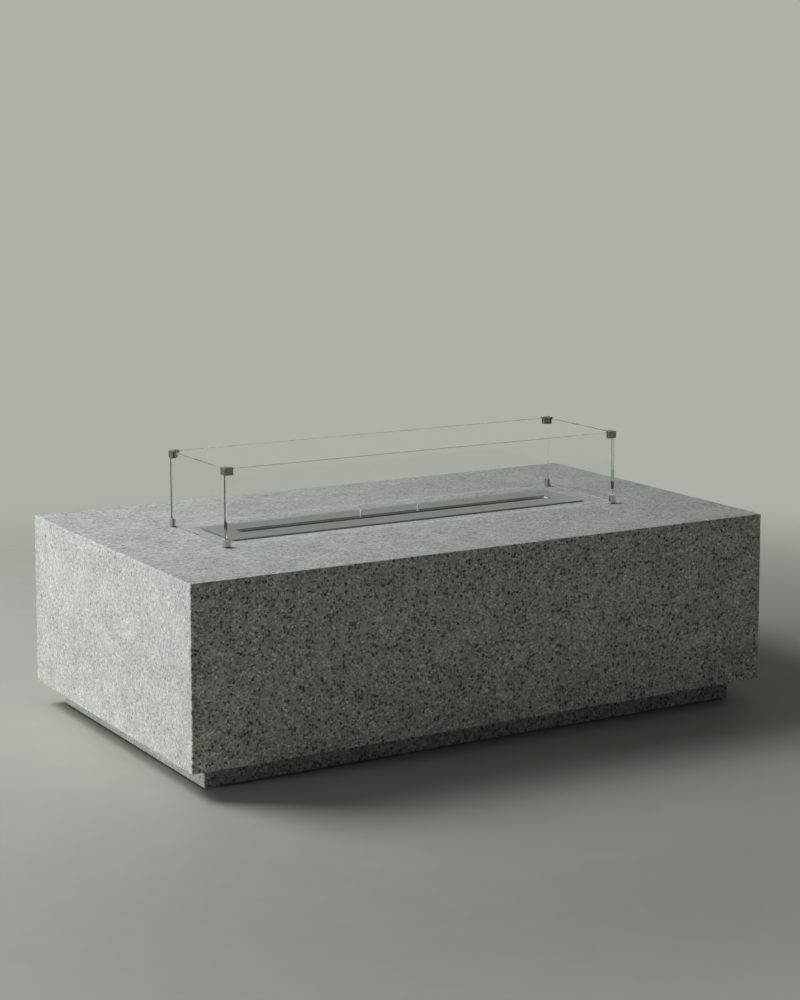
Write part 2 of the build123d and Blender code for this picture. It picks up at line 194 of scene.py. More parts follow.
def newGroup(name, inputs, outputs):
    tree = bpy.data.node_groups.new(name, "ShaderNodeTree")
    for label, kind, value in inputs:
        socket = tree.interface.new_socket(label, in_out="INPUT", socket_type="NodeSocket" + kind)
        if value is not None:
            socket.default_value = value
    for label, kind in outputs:
        tree.interface.new_socket(label, in_out="OUTPUT", socket_type="NodeSocket" + kind)
    start = tree.nodes.new("NodeGroupInput")
    end = tree.nodes.new("NodeGroupOutput")
    return tree, start.outputs, end.inputs


def useGroup(tree, group, **values):
    node = addNode(tree, "Group")
    node.node_tree = group
    for label, value in values.items():
        feed(tree, node.inputs[label], value)
    return node.outputs


# Grains of stone in cement paste. Each cell of a wobbled Voronoi pattern holds one grain, whose random value
# runs from dull through paste to pale and fades to paste at its rim. Larger cells hold separate dark chips,
# smaller ones dark flecks, the smallest ones and noise add sand, and slow noise adds clouds.
stoneForm = dict(
    wobble=1.5,  # in grains
    rim=(0.74, 0.40),  # where a grain starts and is whole, from the middle of its cell
    cloud=(15.0, 3.0, 0.74),  # scale, detail and roughness
    crowd=(-3.2, 2.6),  # chips gather where the clouds are dark
    chipCells=0.66,  # chips to a grain's length, and so on below
    chipRim=(0.26, 0.36),  # change with the chip's own tone, and least
    chipSoft=0.12,
    chipDepth=(0.46, 0.46),  # change with the chip's own tone, and least
    fleckCells=1.9,
    fleckRim=(0.58, 0.42),
    speckCells=3.4,
    speckShare=0.34,
    sandCells=1.6,
    sandNoise=(3.0, 0.65),  # detail and roughness
    cool=(0.98, 1.0, 1.012, 1.0),
    warm=(1.028, 1.0, 0.965, 1.0),
    paleRise=0.25,
    darkFall=0.35,
    matt=0.88,
    darkGloss=0.18,
)


def makeStoneGrains():
    form = stoneForm
    tree, given, out = newGroup(
        "stoneGrains",
        [("Vector", "Vector", None), ("Grain", "Float", 0.004), ("Paste", "Color", None),
         ("Dull", "Color", None), ("Pale", "Color", None), ("Chip", "Color", None),
         ("DullShare", "Float", 0.3), ("PaleShare", "Float", 0.3), ("ChipShare", "Float", 0.2),
         ("FleckShare", "Float", 0.1), ("Sand", "Float", 0.2), ("Cloud", "Float", 0.1),
         ("Contrast", "Float", 1.0)],
        [("Colour", "Color"), ("Height", "Float"), ("Roughness", "Float")])
    perMetre = calc(tree, "DIVIDE", 1.0, given["Grain"])
    wobble = noise(tree, given["Vector"], perMetre, detail=1.0)
    centred = addNode(tree, "VectorMath", operation="SUBTRACT")
    feed(tree, centred.inputs[0], wobble.outputs["Color"])
    centred.inputs[1].default_value = (0.5, 0.5, 0.5)
    shift = addNode(tree, "VectorMath", operation="SCALE")
    feed(tree, shift.inputs[0], centred.outputs[0])
    feed(tree, shift.inputs["Scale"], calc(tree, "MULTIPLY", given["Grain"], form["wobble"]))
    moved = addNode(tree, "VectorMath", operation="ADD")
    feed(tree, moved.inputs[0], given["Vector"])
    feed(tree, moved.inputs[1], shift.outputs[0])
    where = moved.outputs[0]

    pick, warmth, reach = cells(tree, where, perMetre)
    grainBody = ease(tree, reach, *form["rim"])
    dullness = calc(tree, "MULTIPLY", grainBody, ease(tree, pick, given["DullShare"], 0.0))
    paleFrom = calc(tree, "SUBTRACT", 1.0, given["PaleShare"])
    paleness = calc(tree, "MULTIPLY", grainBody, ease(tree, pick, paleFrom, 1.0))
    cloud = noise(tree, given["Vector"], *form["cloud"]).outputs["Fac"]

    crowding = calc(tree, "MULTIPLY_ADD", cloud, *form["crowd"])
    chipScale = calc(tree, "MULTIPLY", perMetre, form["chipCells"])
    chipPick, chipTone, chipReach = cells(tree, where, chipScale)
    chipRim = calc(tree, "MULTIPLY_ADD", chipTone, *form["chipRim"])
    chipEdge = ease(tree, chipReach, chipRim, calc(tree, "SUBTRACT", chipRim, form["chipSoft"]))
    chipDepth = calc(tree, "MULTIPLY_ADD", chipTone, *form["chipDepth"])
    chipShare = calc(tree, "MULTIPLY", given["ChipShare"], crowding)
    chip = calc(tree, "MULTIPLY", chipEdge, chipDepth)
    chip = calc(tree, "MULTIPLY", chip, calc(tree, "LESS_THAN", chipPick, chipShare))

    fleckScale = calc(tree, "MULTIPLY", perMetre, form["fleckCells"])
    fleckPick, fleckTone, fleckReach = cells(tree, where, fleckScale)
    fleck = ease(tree, fleckReach, *form["fleckRim"])
    fleck = calc(tree, "MULTIPLY", fleck, calc(tree, "LESS_THAN", fleckPick, given["FleckShare"]))
    dark = calc(tree, "MAXIMUM", chip, calc(tree, "MULTIPLY", fleck, fleckTone))

    speck = cells(tree, where, calc(tree, "MULTIPLY", perMetre, form["speckCells"]))[0]
    sandScale = calc(tree, "MULTIPLY", perMetre, form["sandCells"])
    coarseSand = noise(tree, where, sandScale, *form["sandNoise"]).outputs["Fac"]
    sand = calc(tree, "MULTIPLY_ADD", calc(tree, "SUBTRACT", speck, 0.5), form["speckShare"], coarseSand)

    stone = mixColour(tree, paleness, given["Paste"], given["Pale"])
    stone = mixColour(tree, dullness, stone, given["Dull"])
    stone = mixColour(tree, dark, stone, given["Chip"])
    stone = mixColour(tree, given["Contrast"], given["Paste"], stone)
    level = 1.0
    for pattern, label in ((sand, "Sand"), (cloud, "Cloud")):
        strength = calc(tree, "MULTIPLY", given[label], given["Contrast"])
        swing = calc(tree, "MULTIPLY", calc(tree, "SUBTRACT", pattern, 0.5), strength)
        level = calc(tree, "ADD", level, swing)
    tone = mixColour(tree, warmth, form["cool"], form["warm"])
    feed(tree, out["Colour"], mixColour(tree, 1.0, shade(tree, stone, level), tone, "MULTIPLY"))
    low = calc(tree, "MAXIMUM", dullness, dark)
    rise = calc(tree, "ADD", sand, calc(tree, "MULTIPLY", paleness, form["paleRise"]))
    feed(tree, out["Height"], calc(tree, "SUBTRACT", rise, calc(tree, "MULTIPLY", low, form["darkFall"])))
    gloss = calc(tree, "MULTIPLY", low, form["darkGloss"])
    feed(tree, out["Roughness"], calc(tree, "SUBTRACT", form["matt"], gloss))
    return tree


# Brush lines: noise on coordinates that the material has squeezed across the lines, with fainter broad smears
brushForm = dict(
    lines=(1.0, 3.0, 0.65),  # scale, detail and roughness
    smear=(14.0, 3.0, 0.6),
    smearShare=0.4,
    roughSwing=0.16,
)


def makeBrushLines():
    tree, given, out = newGroup(
        "brushLines",
        [("Lines", "Vector", None), ("Place", "Vector", None), ("Colour", "Color", None),
         ("Depth", "Float", 0.12), ("Gloss", "Float", 0.25)],
        [("Colour", "Color"), ("Height", "Float"), ("Roughness", "Float")])
    lines = noise(tree, given["Lines"], *brushForm["lines"]).outputs["Fac"]
    smear = noise(tree, given["Place"], *brushForm["smear"]).outputs["Fac"]
    share = brushForm["smearShare"]
    broad = calc(tree, "MULTIPLY_ADD", smear, share, -0.5 * share)
    swing = calc(tree, "ADD", calc(tree, "SUBTRACT", lines, 0.5), broad)
    level = calc(tree, "ADD", 1.0, calc(tree, "MULTIPLY", swing, given["Depth"]))
    feed(tree, out["Colour"], shade(tree, given["Colour"], level))
    feed(tree, out["Height"], lines)
    duller = calc(tree, "MULTIPLY", swing, brushForm["roughSwing"])
    feed(tree, out["Roughness"], calc(tree, "ADD", given["Gloss"], duller))
    return tree


# Mottle: two sizes of noise for a matt surface, as colour, height and roughness
mottleForm = dict(
    coarse=(3.0, 0.55),  # detail and roughness
    fine=(2.0, 0.6),
    roughSwing=0.12,
)


def makeMottle():
    tree, given, out = newGroup(
        "mottle",
        [("Vector", "Vector", None), ("Colour", "Color", None), ("Coarse", "Float", 40.0),
         ("Fine", "Float", 600.0), ("Depth", "Float", 0.2), ("Rough", "Float", 0.7)],
        [("Colour", "Color"), ("Height", "Float"), ("Roughness", "Float")])
    coarse = noise(tree, given["Vector"], given["Coarse"], *mottleForm["coarse"]).outputs["Fac"]
    fine = noise(tree, given["Vector"], given["Fine"], *mottleForm["fine"]).outputs["Fac"]
    both = calc(tree, "SUBTRACT", calc(tree, "ADD", coarse, fine), 1.0)
    level = calc(tree, "ADD", 1.0, calc(tree, "MULTIPLY", both, given["Depth"]))
    feed(tree, out["Colour"], shade(tree, given["Colour"], level))
    feed(tree, out["Height"], fine)
    duller = calc(tree, "MULTIPLY", both, mottleForm["roughSwing"])
    feed(tree, out["Roughness"], calc(tree, "ADD", given["Rough"], duller))
    return tree


stoneGrains = makeStoneGrains()
brushLines = makeBrushLines()
mottle = makeMottle()
print("node groups made")


def startMaterial(name):
    material = bpy.data.materials.new(name)
    material.use_nodes = True
    tree = material.node_tree
    shader = tree.nodes["Principled BSDF"]
    place = addNode(tree, "TexCoord").outputs["Object"]
    return material, tree, shader, place


def addBump(tree, shader, height, distance, strength):
    bump = addNode(tree, "Bump")
    bump.inputs["Distance"].default_value = distance
    bump.inputs["Strength"].default_value = strength
    feed(tree, bump.inputs["Height"], height)
    feed(tree, shader.inputs["Normal"], bump.outputs[0])


def surfaceFrom(tree, shader, found):
    feed(tree, shader.inputs["Base Color"], found["Colour"])
    feed(tree, shader.inputs["Roughness"], found["Roughness"])


def mottled(tree, place, look):
    return useGroup(tree, mottle, Vector=place, Colour=look["colour"], Coarse=look["coarse"],
                    Fine=look["fine"], Depth=look["depth"], Rough=look["rough"])


def seenBy(tree, path):
    # 1 for rays that show a surface: from the camera, mirrored or through glass
    sharp = calc(tree, "MAXIMUM", path["Is Glossy Ray"], path["Is Transmission Ray"])
    return calc(tree, "MAXIMUM", path["Is Camera Ray"], sharp)


def blendShaders(tree, share, first, second, output):
    blend = addNode(tree, "MixShader")
    for socket, value in zip(blend.inputs, (share, first.outputs[0], second.outputs[0])):
        feed(tree, socket, value)
    feed(tree, tree.nodes[output].inputs["Surface"], blend.outputs[0])


concreteMix = dict(
    grain=0.0045,  # metres across
    paste=(0.410, 0.425, 0.398, 1.0),
    dull=(0.165, 0.170, 0.157, 1.0),
    pale=(0.700, 0.717, 0.680, 1.0),
    chip=(0.050, 0.052, 0.048, 1.0),
    dullShare=0.56,
    paleShare=0.50,
    chipShare=0.26,
    fleckShare=0.22,
    sand=0.72,
    cloud=0.9,
    bump=0.14,
    bumpDepth=0.0006,
    gloss=0.35,
    calm=0.55,  # painted light: least speckle, on the lit left and back faces, against 1 on the shaded front and right
    topBold=0.10,  # how far the top goes from the least to the most speckle
    skin=0.0008,  # depth from a face that still counts as the face
    broken=(0.50, 0.52, 0.49, 1.0),  # fresh broken edge
    brokenFrom=0.25,  # depth of a nick that starts to look broken, against the deepest
    brokenShare=0.45,
    plinthPaintedShade=0.27,  # painted shade: how much darker the plinth's front and right are painted than the block's, for the shade under its overhang
)


def frontAndRight(tree, place, node):
    # 1 on the front and right faces of a node, 0 elsewhere, found by how near a point is to those faces
    low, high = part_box(node)
    parts = addNode(tree, "SeparateXYZ")
    feed(tree, parts.inputs[0], place)
    front = calc(tree, "LESS_THAN", parts.outputs[1], low[1] + concreteMix["skin"])
    right = calc(tree, "GREATER_THAN", parts.outputs[0], high[0] - concreteMix["skin"])
    return calc(tree, "MAXIMUM", front, right)


def concreteMaterial(name, isBlock):
    material, tree, shader, place = startMaterial(name)
    mix = concreteMix
    if isBlock:
        bold = addNode(tree, "Attribute", attribute_name="bold").outputs["Fac"]
    else:
        bold = frontAndRight(tree, place, "concrete_plinth")
    # painted light: speckle is calmer on the lit faces and bolder on the shaded ones
    contrast = calc(tree, "ADD", mix["calm"], calc(tree, "MULTIPLY", bold, 1.0 - mix["calm"]))
    found = useGroup(tree, stoneGrains, Vector=place, Grain=mix["grain"], Paste=mix["paste"],
                     Dull=mix["dull"], Pale=mix["pale"], Chip=mix["chip"], DullShare=mix["dullShare"],
                     PaleShare=mix["paleShare"], ChipShare=mix["chipShare"], FleckShare=mix["fleckShare"],
                     Sand=mix["sand"], Cloud=mix["cloud"], Contrast=contrast)
    surfaceFrom(tree, shader, found)
    if isBlock:
        nick = addNode(tree, "Attribute", attribute_name="nick").outputs["Fac"]
        share = ease(tree, nick, mix["brokenFrom"], 1.0, 0.0, mix["brokenShare"])
        feed(tree, shader.inputs["Base Color"], mixColour(tree, share, found["Colour"], mix["broken"]))
    else:
        # painted shade: the plinth's front and right are darkened where the block's overhang shades them
        level = calc(tree, "MULTIPLY_ADD", bold, -mix["plinthPaintedShade"], 1.0)
        feed(tree, shader.inputs["Base Color"], shade(tree, found["Colour"], level))
    shader.inputs["Specular IOR Level"].default_value = mix["gloss"]
    addBump(tree, shader, found["Height"], mix["bumpDepth"], mix["bump"])
    return material


bumpStrength = dict(brushed=0.3, matt=0.4)


def brushedMaterial(name, look):
    material, tree, shader, place = startMaterial(name)
    stretch = addNode(tree, "Mapping")
    feed(tree, stretch.inputs["Vector"], place)
    stretch.inputs["Scale"].default_value = look["lines"]
    found = useGroup(tree, brushLines, Lines=stretch.outputs[0], Place=place, Colour=look["colour"],
                     Depth=look["depth"], Gloss=look["gloss"])
    surfaceFrom(tree, shader, found)
    shader.inputs["Metallic"].default_value = look.get("metal", 1.0)
    addBump(tree, shader, found["Height"], look["bump"], bumpStrength["brushed"])
    return material


def burnerMaterial(name, look):
    # the folded ends of the slot are matt, and painted pale as a painted highlight where the lamp lights them
    material = brushedMaterial(name, look)
    tree = material.node_tree
    shader = tree.nodes["Principled BSDF"]
    parts = addNode(tree, "SeparateXYZ")
    feed(tree, parts.inputs[0], tree.nodes["Texture Coordinate"].outputs["Object"])
    folded = 1.0
    for axis, (least, most) in enumerate(look["folded"]):
        reach = calc(tree, "ABSOLUTE", parts.outputs[axis])
        above = calc(tree, "GREATER_THAN", reach, least)
        within = calc(tree, "MULTIPLY", above, calc(tree, "LESS_THAN", reach, most))
        folded = calc(tree, "MULTIPLY", within, folded)
    colour = shader.inputs["Base Color"]
    feed(tree, colour, mixColour(tree, folded, colour.links[0].from_socket, look["foldedHighlightColour"]))
    rough = shader.inputs["Roughness"]
    duller = calc(tree, "MULTIPLY", folded, look["foldedRough"])
    feed(tree, rough, calc(tree, "ADD", rough.links[0].from_socket, duller))
    return material


def mattMaterial(name, look):
    material, tree, shader, place = startMaterial(name)
    found = mottled(tree, place, look)
    surfaceFrom(tree, shader, found)
    shader.inputs["Metallic"].default_value = look.get("metal", 0.0)
    addBump(tree, shader, found["Height"], look["bump"], bumpStrength["matt"])
    return material


glassLook = dict(
    tint=(0.988, 0.998, 0.993, 1.0),
    cast=(0.97, 0.985, 0.977, 1.0),  # what its shadow lets through
    index=1.5,
    smear=0.02,  # most roughness
    smearFrom=(0.55, 0.9),
    colour=(1.0, 1.0, 1.0, 1.0),
    coarse=9.0,
    fine=60.0,
    depth=0.1,
    rough=0.0,
)


def glassMaterial(name):
    material, tree, shader, place = startMaterial(name)
    shader.inputs["Base Color"].default_value = glassLook["tint"]
    shader.inputs["Transmission Weight"].default_value = 1.0
    shader.inputs["IOR"].default_value = glassLook["index"]
    found = mottled(tree, place, glassLook)
    smear = ease(tree, found["Height"], *glassLook["smearFrom"], 0.0, glassLook["smear"])
    feed(tree, shader.inputs["Roughness"], smear)
    clear = addNode(tree, "BsdfTransparent")
    clear.inputs[0].default_value = glassLook["cast"]
    path = addNode(tree, "LightPath").outputs
    lets = calc(tree, "MAXIMUM", path["Is Shadow Ray"], path["Is Diffuse Ray"])
    blendShaders(tree, lets, shader, clear, "Material Output")
    return material


burnerLook = dict(
    colour=(0.335, 0.341, 0.325, 1.0), lines=(6.0, 900.0, 900.0), depth=0.22, gloss=0.30, bump=0.00006,
    folded=((0.3900, 0.3965), (-1.0, 0.0170), (0.4070, 0.4222)),  # least and most x, y and z, on either side
    # painted highlight: the folded ends are near white, where the lamp lights the end walls
    foldedHighlightColour=(0.92, 0.92, 0.90, 1.0), foldedRough=0.42)
shutterLook = dict(
    colour=(0.47, 0.48, 0.45, 1.0), lines=(8.0, 700.0, 700.0), depth=0.30, gloss=0.38, bump=0.00005)
pegLook = dict(
    colour=(0.95, 0.95, 0.93, 1.0), lines=(500.0, 500.0, 60.0), depth=0.12, gloss=0.36, bump=0.00002,
    metal=0.25)  # pale and bright rather than mirror-like
footLook = dict(
    colour=(0.57, 0.57, 0.553, 1.0), lines=(420.0, 420.0, 30.0), depth=0.26, gloss=0.34, bump=0.00005)
# painted shade: a darker copy of the clip steel for the top clips, standing in for the shade on their faces
shadedClipLook = dict(
    colour=(0.29, 0.29, 0.272, 1.0), lines=(420.0, 420.0, 30.0), depth=0.34, gloss=0.36, bump=0.00005)
zincLook = dict(
    colour=(0.55, 0.57, 0.59, 1.0), coarse=90.0, fine=400.0, depth=0.30, rough=0.42, bump=0.00008, metal=1.0)
rubberLook = dict(
    colour=(0.028, 0.028, 0.027, 1.0), coarse=60.0, fine=900.0, depth=0.5, rough=0.75, bump=0.0001)
siliconeLook = dict(
    colour=(0.16, 0.165, 0.16, 1.0), coarse=80.0, fine=700.0, depth=0.2, rough=0.5, bump=0.00005)
sealLook = dict(
    colour=(0.30, 0.305, 0.29, 1.0), coarse=80.0, fine=700.0, depth=0.2, rough=0.6, bump=0.00005)
fibreLook = dict(
    colour=(0.80, 0.79, 0.75, 1.0), coarse=70.0, fine=500.0, depth=0.35, rough=0.95, bump=0.0012)

# by material slot
finishes = {
    "block_concrete": concreteMaterial("speckledConcrete", True),
    "plinth_concrete": concreteMaterial("plinthConcrete", False),
    "burner_steel": burnerMaterial("brushedBurnerSteel", burnerLook),
    "shutter_steel": brushedMaterial("shutterSteel", shutterLook),
    "clip_steel": brushedMaterial("satinClipSteel", footLook),
    "zinc_steel": mattMaterial("zincPlatedSteel", zincLook),
    "guard_glass": glassMaterial("clearGuardGlass"),
    "rubber": mattMaterial("blackRubber", rubberLook),
    "silicone": mattMaterial("greySilicone", siliconeLook),
    "ceramic_fibre": mattMaterial("ceramicFibre", fibreLook),
}
# by the start of a node's name, ahead of its slot
special = {
    "shutter_peg": brushedMaterial("brightPegSteel", pegLook),
    # painted shade: the top clips take the darker copy of the clip steel
    "top_clip": brushedMaterial("shadedClipSteel", shadedClipLook),
    "guard_feet": finishes["silicone"],
    "burner_gasket": mattMaterial("greySeal", sealLook),
}
for name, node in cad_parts.items():
    own = [finish for start, finish in special.items() if name.startswith(start)]
    for slot in node.material_slots:
        slot.material = own[0] if own else finishes[slot.material.name.split(".")[0]]
print("finishes made:", len(finishes) + len(special))


# Cast block: rounded rectangles carried round the section of a hollow casting, from the edge of the open
# underside out, up the side, in over the top, down the burner cut-out and back along the inside.
casting = dict(
    wall=0.025,
    slab=0.035,
    foot=0.030,
    opening=(0.573, 0.2805),
    cutOut=(0.428, 0.064),
    arris=0.002,
    arrisFrom=8.0,  # degrees
    arrisSteps=5,
    cutOutArris=0.0006,
    corner=0.0003,  # keeps the corners of the flat loops open
    support=0.0016,  # from an edge to the loop that keeps it crisp
    shoulder=0.004,  # from an edge to the next loop
    sideSteps=52,
    topSteps=6,
    flatSteps=3,  # underside, slab and inside of the wall
    shortSteps=2,  # cut-out and foot
    columns=(340, 196, 7),
    chipsPerMetre=40,
    chipDepth=(0.0002, 0.0013),
    chipPower=3,  # makes most of them shallow
    chipWidth=(0.0015, 0.0065),
    chipReach=0.0032,
    wander=0.00012,
    wanderWaves=(23.0, 61.0, 117.0, 203.0, 349.0),  # radians to the metre
    seed=23,
)


def chipRow(along, length, chance):
    # Deepest of many bell-shaped nicks at random places along an edge, with a slow wander of the edge added
    count = int(length * casting["chipsPerMetre"])
    middle = chance.uniform(0.0, length, count)
    width = chance.uniform(*casting["chipWidth"], count)
    low, high = casting["chipDepth"]
    depth = low + (high - low) * chance.uniform(0.0, 1.0, count) ** casting["chipPower"]
    nicks = depth * np.exp(-((along[:, None] - middle) / width) ** 2)
    waves = np.array(casting["wanderWaves"])
    phase = chance.uniform(0.0, 2 * math.pi, len(waves))
    swing = np.sin(along[:, None] * waves + phase).mean(axis=1)
    return nicks.max(axis=1) + casting["wander"] * (1.0 + swing)


def castBlock():
    low, high = (np.array(corner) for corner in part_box("concrete_body"))
    halfX, halfY = high[0], high[1]
    base, top = low[2], high[2]
    edge = casting["arris"]
    fine = casting["corner"]
    support = casting["support"]
    shoulder = casting["shoulder"]
    swing = np.radians(np.linspace(casting["arrisFrom"], 90.0, casting["arrisSteps"]))[:, None]
    flatX, flatY = halfX - edge, halfY - edge
    turnedOut = edge * np.sin(swing)
    turnedUp = edge - edge * np.cos(swing)
    lowerArris = np.hstack([flatX + turnedOut, flatY + turnedOut, turnedOut, base + turnedUp])
    upperArris = lowerArris[::-1].copy()
    upperArris[:, 3] = base + top - upperArris[:, 3]
    openX, openY = casting["opening"]
    cutX, cutY = casting["cutOut"]
    lip = casting["cutOutArris"]
    under = top - casting["slab"]
    footTop = base + casting["foot"]
    innerX, innerY = halfX - casting["wall"], halfY - casting["wall"]
    side = [halfX, halfY, edge]
    nearEdge = [flatX - support, flatY - support, fine]
    topShoulder = [flatX - shoulder, flatY - shoulder, fine, top]
    cutEdge = [cutX + lip, cutY + lip, fine, top]
    outerRows = np.vstack([
        runRows([openX, openY, fine, base], nearEdge + [base], casting["flatSteps"]),
        [nearEdge + [base]],
        lowerArris,
        runRows(side + [base + edge + support], side + [top - edge - support], casting["sideSteps"]),
        [side + [top - edge - support]],
        upperArris,
        [nearEdge + [top], topShoulder],
    ])
    innerRows = np.vstack([
        runRows(topShoulder, cutEdge, casting["topSteps"])[1:],
        [cutEdge, [cutX, cutY, fine, top - lip]],
        runRows([cutX, cutY, fine, top - shoulder], [cutX, cutY, fine, under], casting["shortSteps"]),
        runRows([cutX, cutY, fine, under], [innerX, innerY, fine, under], casting["flatSteps"]),
        runRows([innerX, innerY, fine, under], [innerX, innerY, fine, footTop], casting["flatSteps"]),
        runRows([innerX, innerY, fine, footTop], [openX, openY, fine, footTop], casting["shortSteps"]),
        [[openX, openY, fine, footTop]],
    ])
    rows = np.vstack([outerRows, innerRows])
    columns = loopColumns(*casting["columns"])
    points = loftLoops(rows, columns)
    u, v, angle = columns
    outward = np.stack([np.cos(angle), np.sin(angle)], axis=-1)

    # nicks along the four lower, four upper and four upright edges, all cut inwards
    chance = np.random.default_rng(casting["seed"])
    step = np.linalg.norm(np.diff(np.stack([u * flatX, v * flatY], axis=-1), axis=0), axis=1)
    along = np.concatenate([[0.0], np.cumsum(step)])
    outer = np.arange(len(rows)) < len(outerRows)
    inset = np.abs(halfX - rows[:, 0])
    reach = casting["chipReach"]
    depth = np.zeros(points.shape[:2])
    for level, upward in ((base, -1.0), (top, 1.0)):
        nick = chipRow(along, along[-1], chance)
        fade = np.exp(-(np.hypot(inset, rows[:, 3] - level) / reach) ** 2) * outer
        cut = fade[:, None] * nick[None, :]
        points[..., :2] -= cut[..., None] * outward / math.sqrt(2)
        points[..., 2] -= cut * upward / math.sqrt(2)
        depth = np.maximum(depth, cut)
    onSide = np.exp(-(inset / reach) ** 2) * outer
    for cornerU, cornerV in ((1, -1), (1, 1), (-1, 1), (-1, -1)):
        nick = chipRow(rows[:, 3], top, chance)
        away = np.hypot((u - cornerU) * flatX, (v - cornerV) * flatY)
        cut = (onSide * nick)[:, None] * np.exp(-(away / reach) ** 2)[None, :]
        points[..., 0] -= cut * cornerU / math.sqrt(2)
        points[..., 1] -= cut * cornerV / math.sqrt(2)
        depth = np.maximum(depth, cut)

    # bold is 1 on the shaded front and right faces and 0 on the lit left and back, turning smoothly round
    # each edge: speckle contrast painted to follow the light
    upright = np.where(rows[:, 3] < top - edge, 1.0, np.clip(1.0 - inset / edge, 0.0, 1.0))[:, None]
    facing = np.clip(np.maximum(outward[:, 0], -outward[:, 1]), 0.0, 1.0)[None, :]
    bold = upright * facing + (1.0 - upright) * concreteMix["topBold"]

    mesh = gridMesh("cast_block", points, closeRows=True)
    for label, values in (("nick", depth / casting["chipDepth"][1]), ("bold", bold)):
        marks = mesh.attributes.new(label, "FLOAT", "POINT")
        marks.data.foreach_set("value", values.astype(np.float32).reshape(-1))
    piece = placeMesh(mesh, finishes["block_concrete"])
    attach(piece, "base")
    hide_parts("concrete_body")


castBlock()
print("cast block made")


# Fibre blocks in the tank: rounded rectangles stacked up a block with soft edges, with lumps from summed sine
# waves pressed into its skin.
woolBlock = dict(
    edge=0.007,
    edgeSteps=7,
    rimCorner=0.5,  # corner radius where the edge starts to turn, against the edge
    sideFrom=1.4,  # first loop of the side, against the edge
    sideSteps=9,
    faceInner=0.3,  # innermost loop of a face, against the block
    faceSteps=5,
    columns=(44, 18, 5),
    lump=0.0011,
    lumpWaves=(60.0, 260.0),  # radians to the metre
    lumpCount=6,
    seed=5,
    fill=0.9,
)


def fibreBlock(name, chance):
    low, high = (np.array(corner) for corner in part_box(name))
    middle = (low + high) / 2
    halfX, halfY, halfZ = (high - low) / 2
    edge = woolBlock["edge"]
    swing = np.radians(np.linspace(0.0, 90.0, woolBlock["edgeSteps"]))[:, None]
    narrowX, narrowY = halfX - edge, halfY - edge
    turnedOut = edge * np.sin(swing)
    rimCorner = woolBlock["rimCorner"]
    corner = edge * (rimCorner + (1.0 - rimCorner) * np.sin(swing))
    lowerEdge = np.hstack([narrowX + turnedOut, narrowY + turnedOut, corner,
                           -halfZ + edge - edge * np.cos(swing)])
    upperEdge = lowerEdge[::-1].copy()
    upperEdge[:, 3] *= -1
    side = [halfX, halfY, edge]
    sideTop = halfZ - woolBlock["sideFrom"] * edge
    inner = [woolBlock["faceInner"] * length for length in side]
    rim = [narrowX, narrowY, rimCorner * edge]
    rows = np.vstack([
        runRows(inner + [-halfZ], rim + [-halfZ], woolBlock["faceSteps"]),
        lowerEdge,
        runRows(side + [-sideTop], side + [sideTop], woolBlock["sideSteps"]),
        upperEdge,
        runRows(rim + [halfZ], inner + [halfZ], woolBlock["faceSteps"])[1:],
        [inner + [halfZ]],
    ])
    points = loftLoops(rows, loopColumns(*woolBlock["columns"]))
    waves = chance.uniform(*woolBlock["lumpWaves"], (3, woolBlock["lumpCount"]))
    phase = chance.uniform(0.0, 2 * math.pi, woolBlock["lumpCount"])
    lump = 0.5 + 0.5 * np.sin(points @ waves + phase).mean(axis=-1)
    points *= (1.0 - lump[..., None] * woolBlock["lump"] / np.array([halfX, halfY, halfZ]))
    mesh = gridMesh("fibre_" + name[-1], points + middle, capEnds=True)
    piece = placeMesh(mesh, finishes["ceramic_fibre"])
    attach(piece, "burner")
    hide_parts(name)


woolChance = np.random.default_rng(woolBlock["seed"])
for number in (1, 2, 3):
    fibreBlock(f"ceramic_wool_{number}", woolChance)
print("fibre blocks made")


# Gasket under the plate: a section like a flattened cushion, from powers of cosine and sine, carried round a
# rectangle.
gasketStrip = dict(width=0.0075, sectionSteps=16, squareness=0.45, columns=(60, 12, 5), corner=0.0015)


def gasketRing():
    low, high = (np.array(corner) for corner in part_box("burner_gasket"))
    turn = np.linspace(0.0, 2 * math.pi, gasketStrip["sectionSteps"], endpoint=False)[:, None]
    bulge = np.sign(np.cos(turn)) * np.abs(np.cos(turn)) ** gasketStrip["squareness"]
    lift = np.sign(np.sin(turn)) * np.abs(np.sin(turn)) ** gasketStrip["squareness"]
    half = gasketStrip["width"] / 2
    radius = np.full_like(turn, gasketStrip["corner"])
    height = (low[2] + high[2]) / 2 + (high[2] - low[2]) / 2 * lift
    rows = np.hstack([high[0] - half + half * bulge, high[1] - half + half * bulge, radius, height])
    points = loftLoops(rows, loopColumns(*gasketStrip["columns"]))
    piece = placeMesh(gridMesh("gasket_ring", points, closeRows=True), special["burner_gasket"])
    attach(piece, "burner")
    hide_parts("burner_gasket")


gasketRing()
print("gasket made")


# Floor: a pale disc that fades out into the background. The camera sees its colour, and the light that it
# throws back has the bounce colours, of which the left one holds beyond the left edge.
floorLook = dict(
    rings=(5.0, 3.5, 2.0, 1.0, 0.2),
    spokes=96,
    fade=(1.15, 2.8),  # metres from the middle
    colour=(0.38, 0.385, 0.348, 1.0),
    bounce=(0.85, 0.838, 0.745, 1.0),
    leftBounce=(0.37, 0.373, 0.335, 1.0),
    leftEdge=(-0.45, -0.95),  # x at which the change starts and ends
    coarse=1.6,
    fine=14.0,
    depth=0.10,
    rough=0.6,
    gloss=0.2,
)


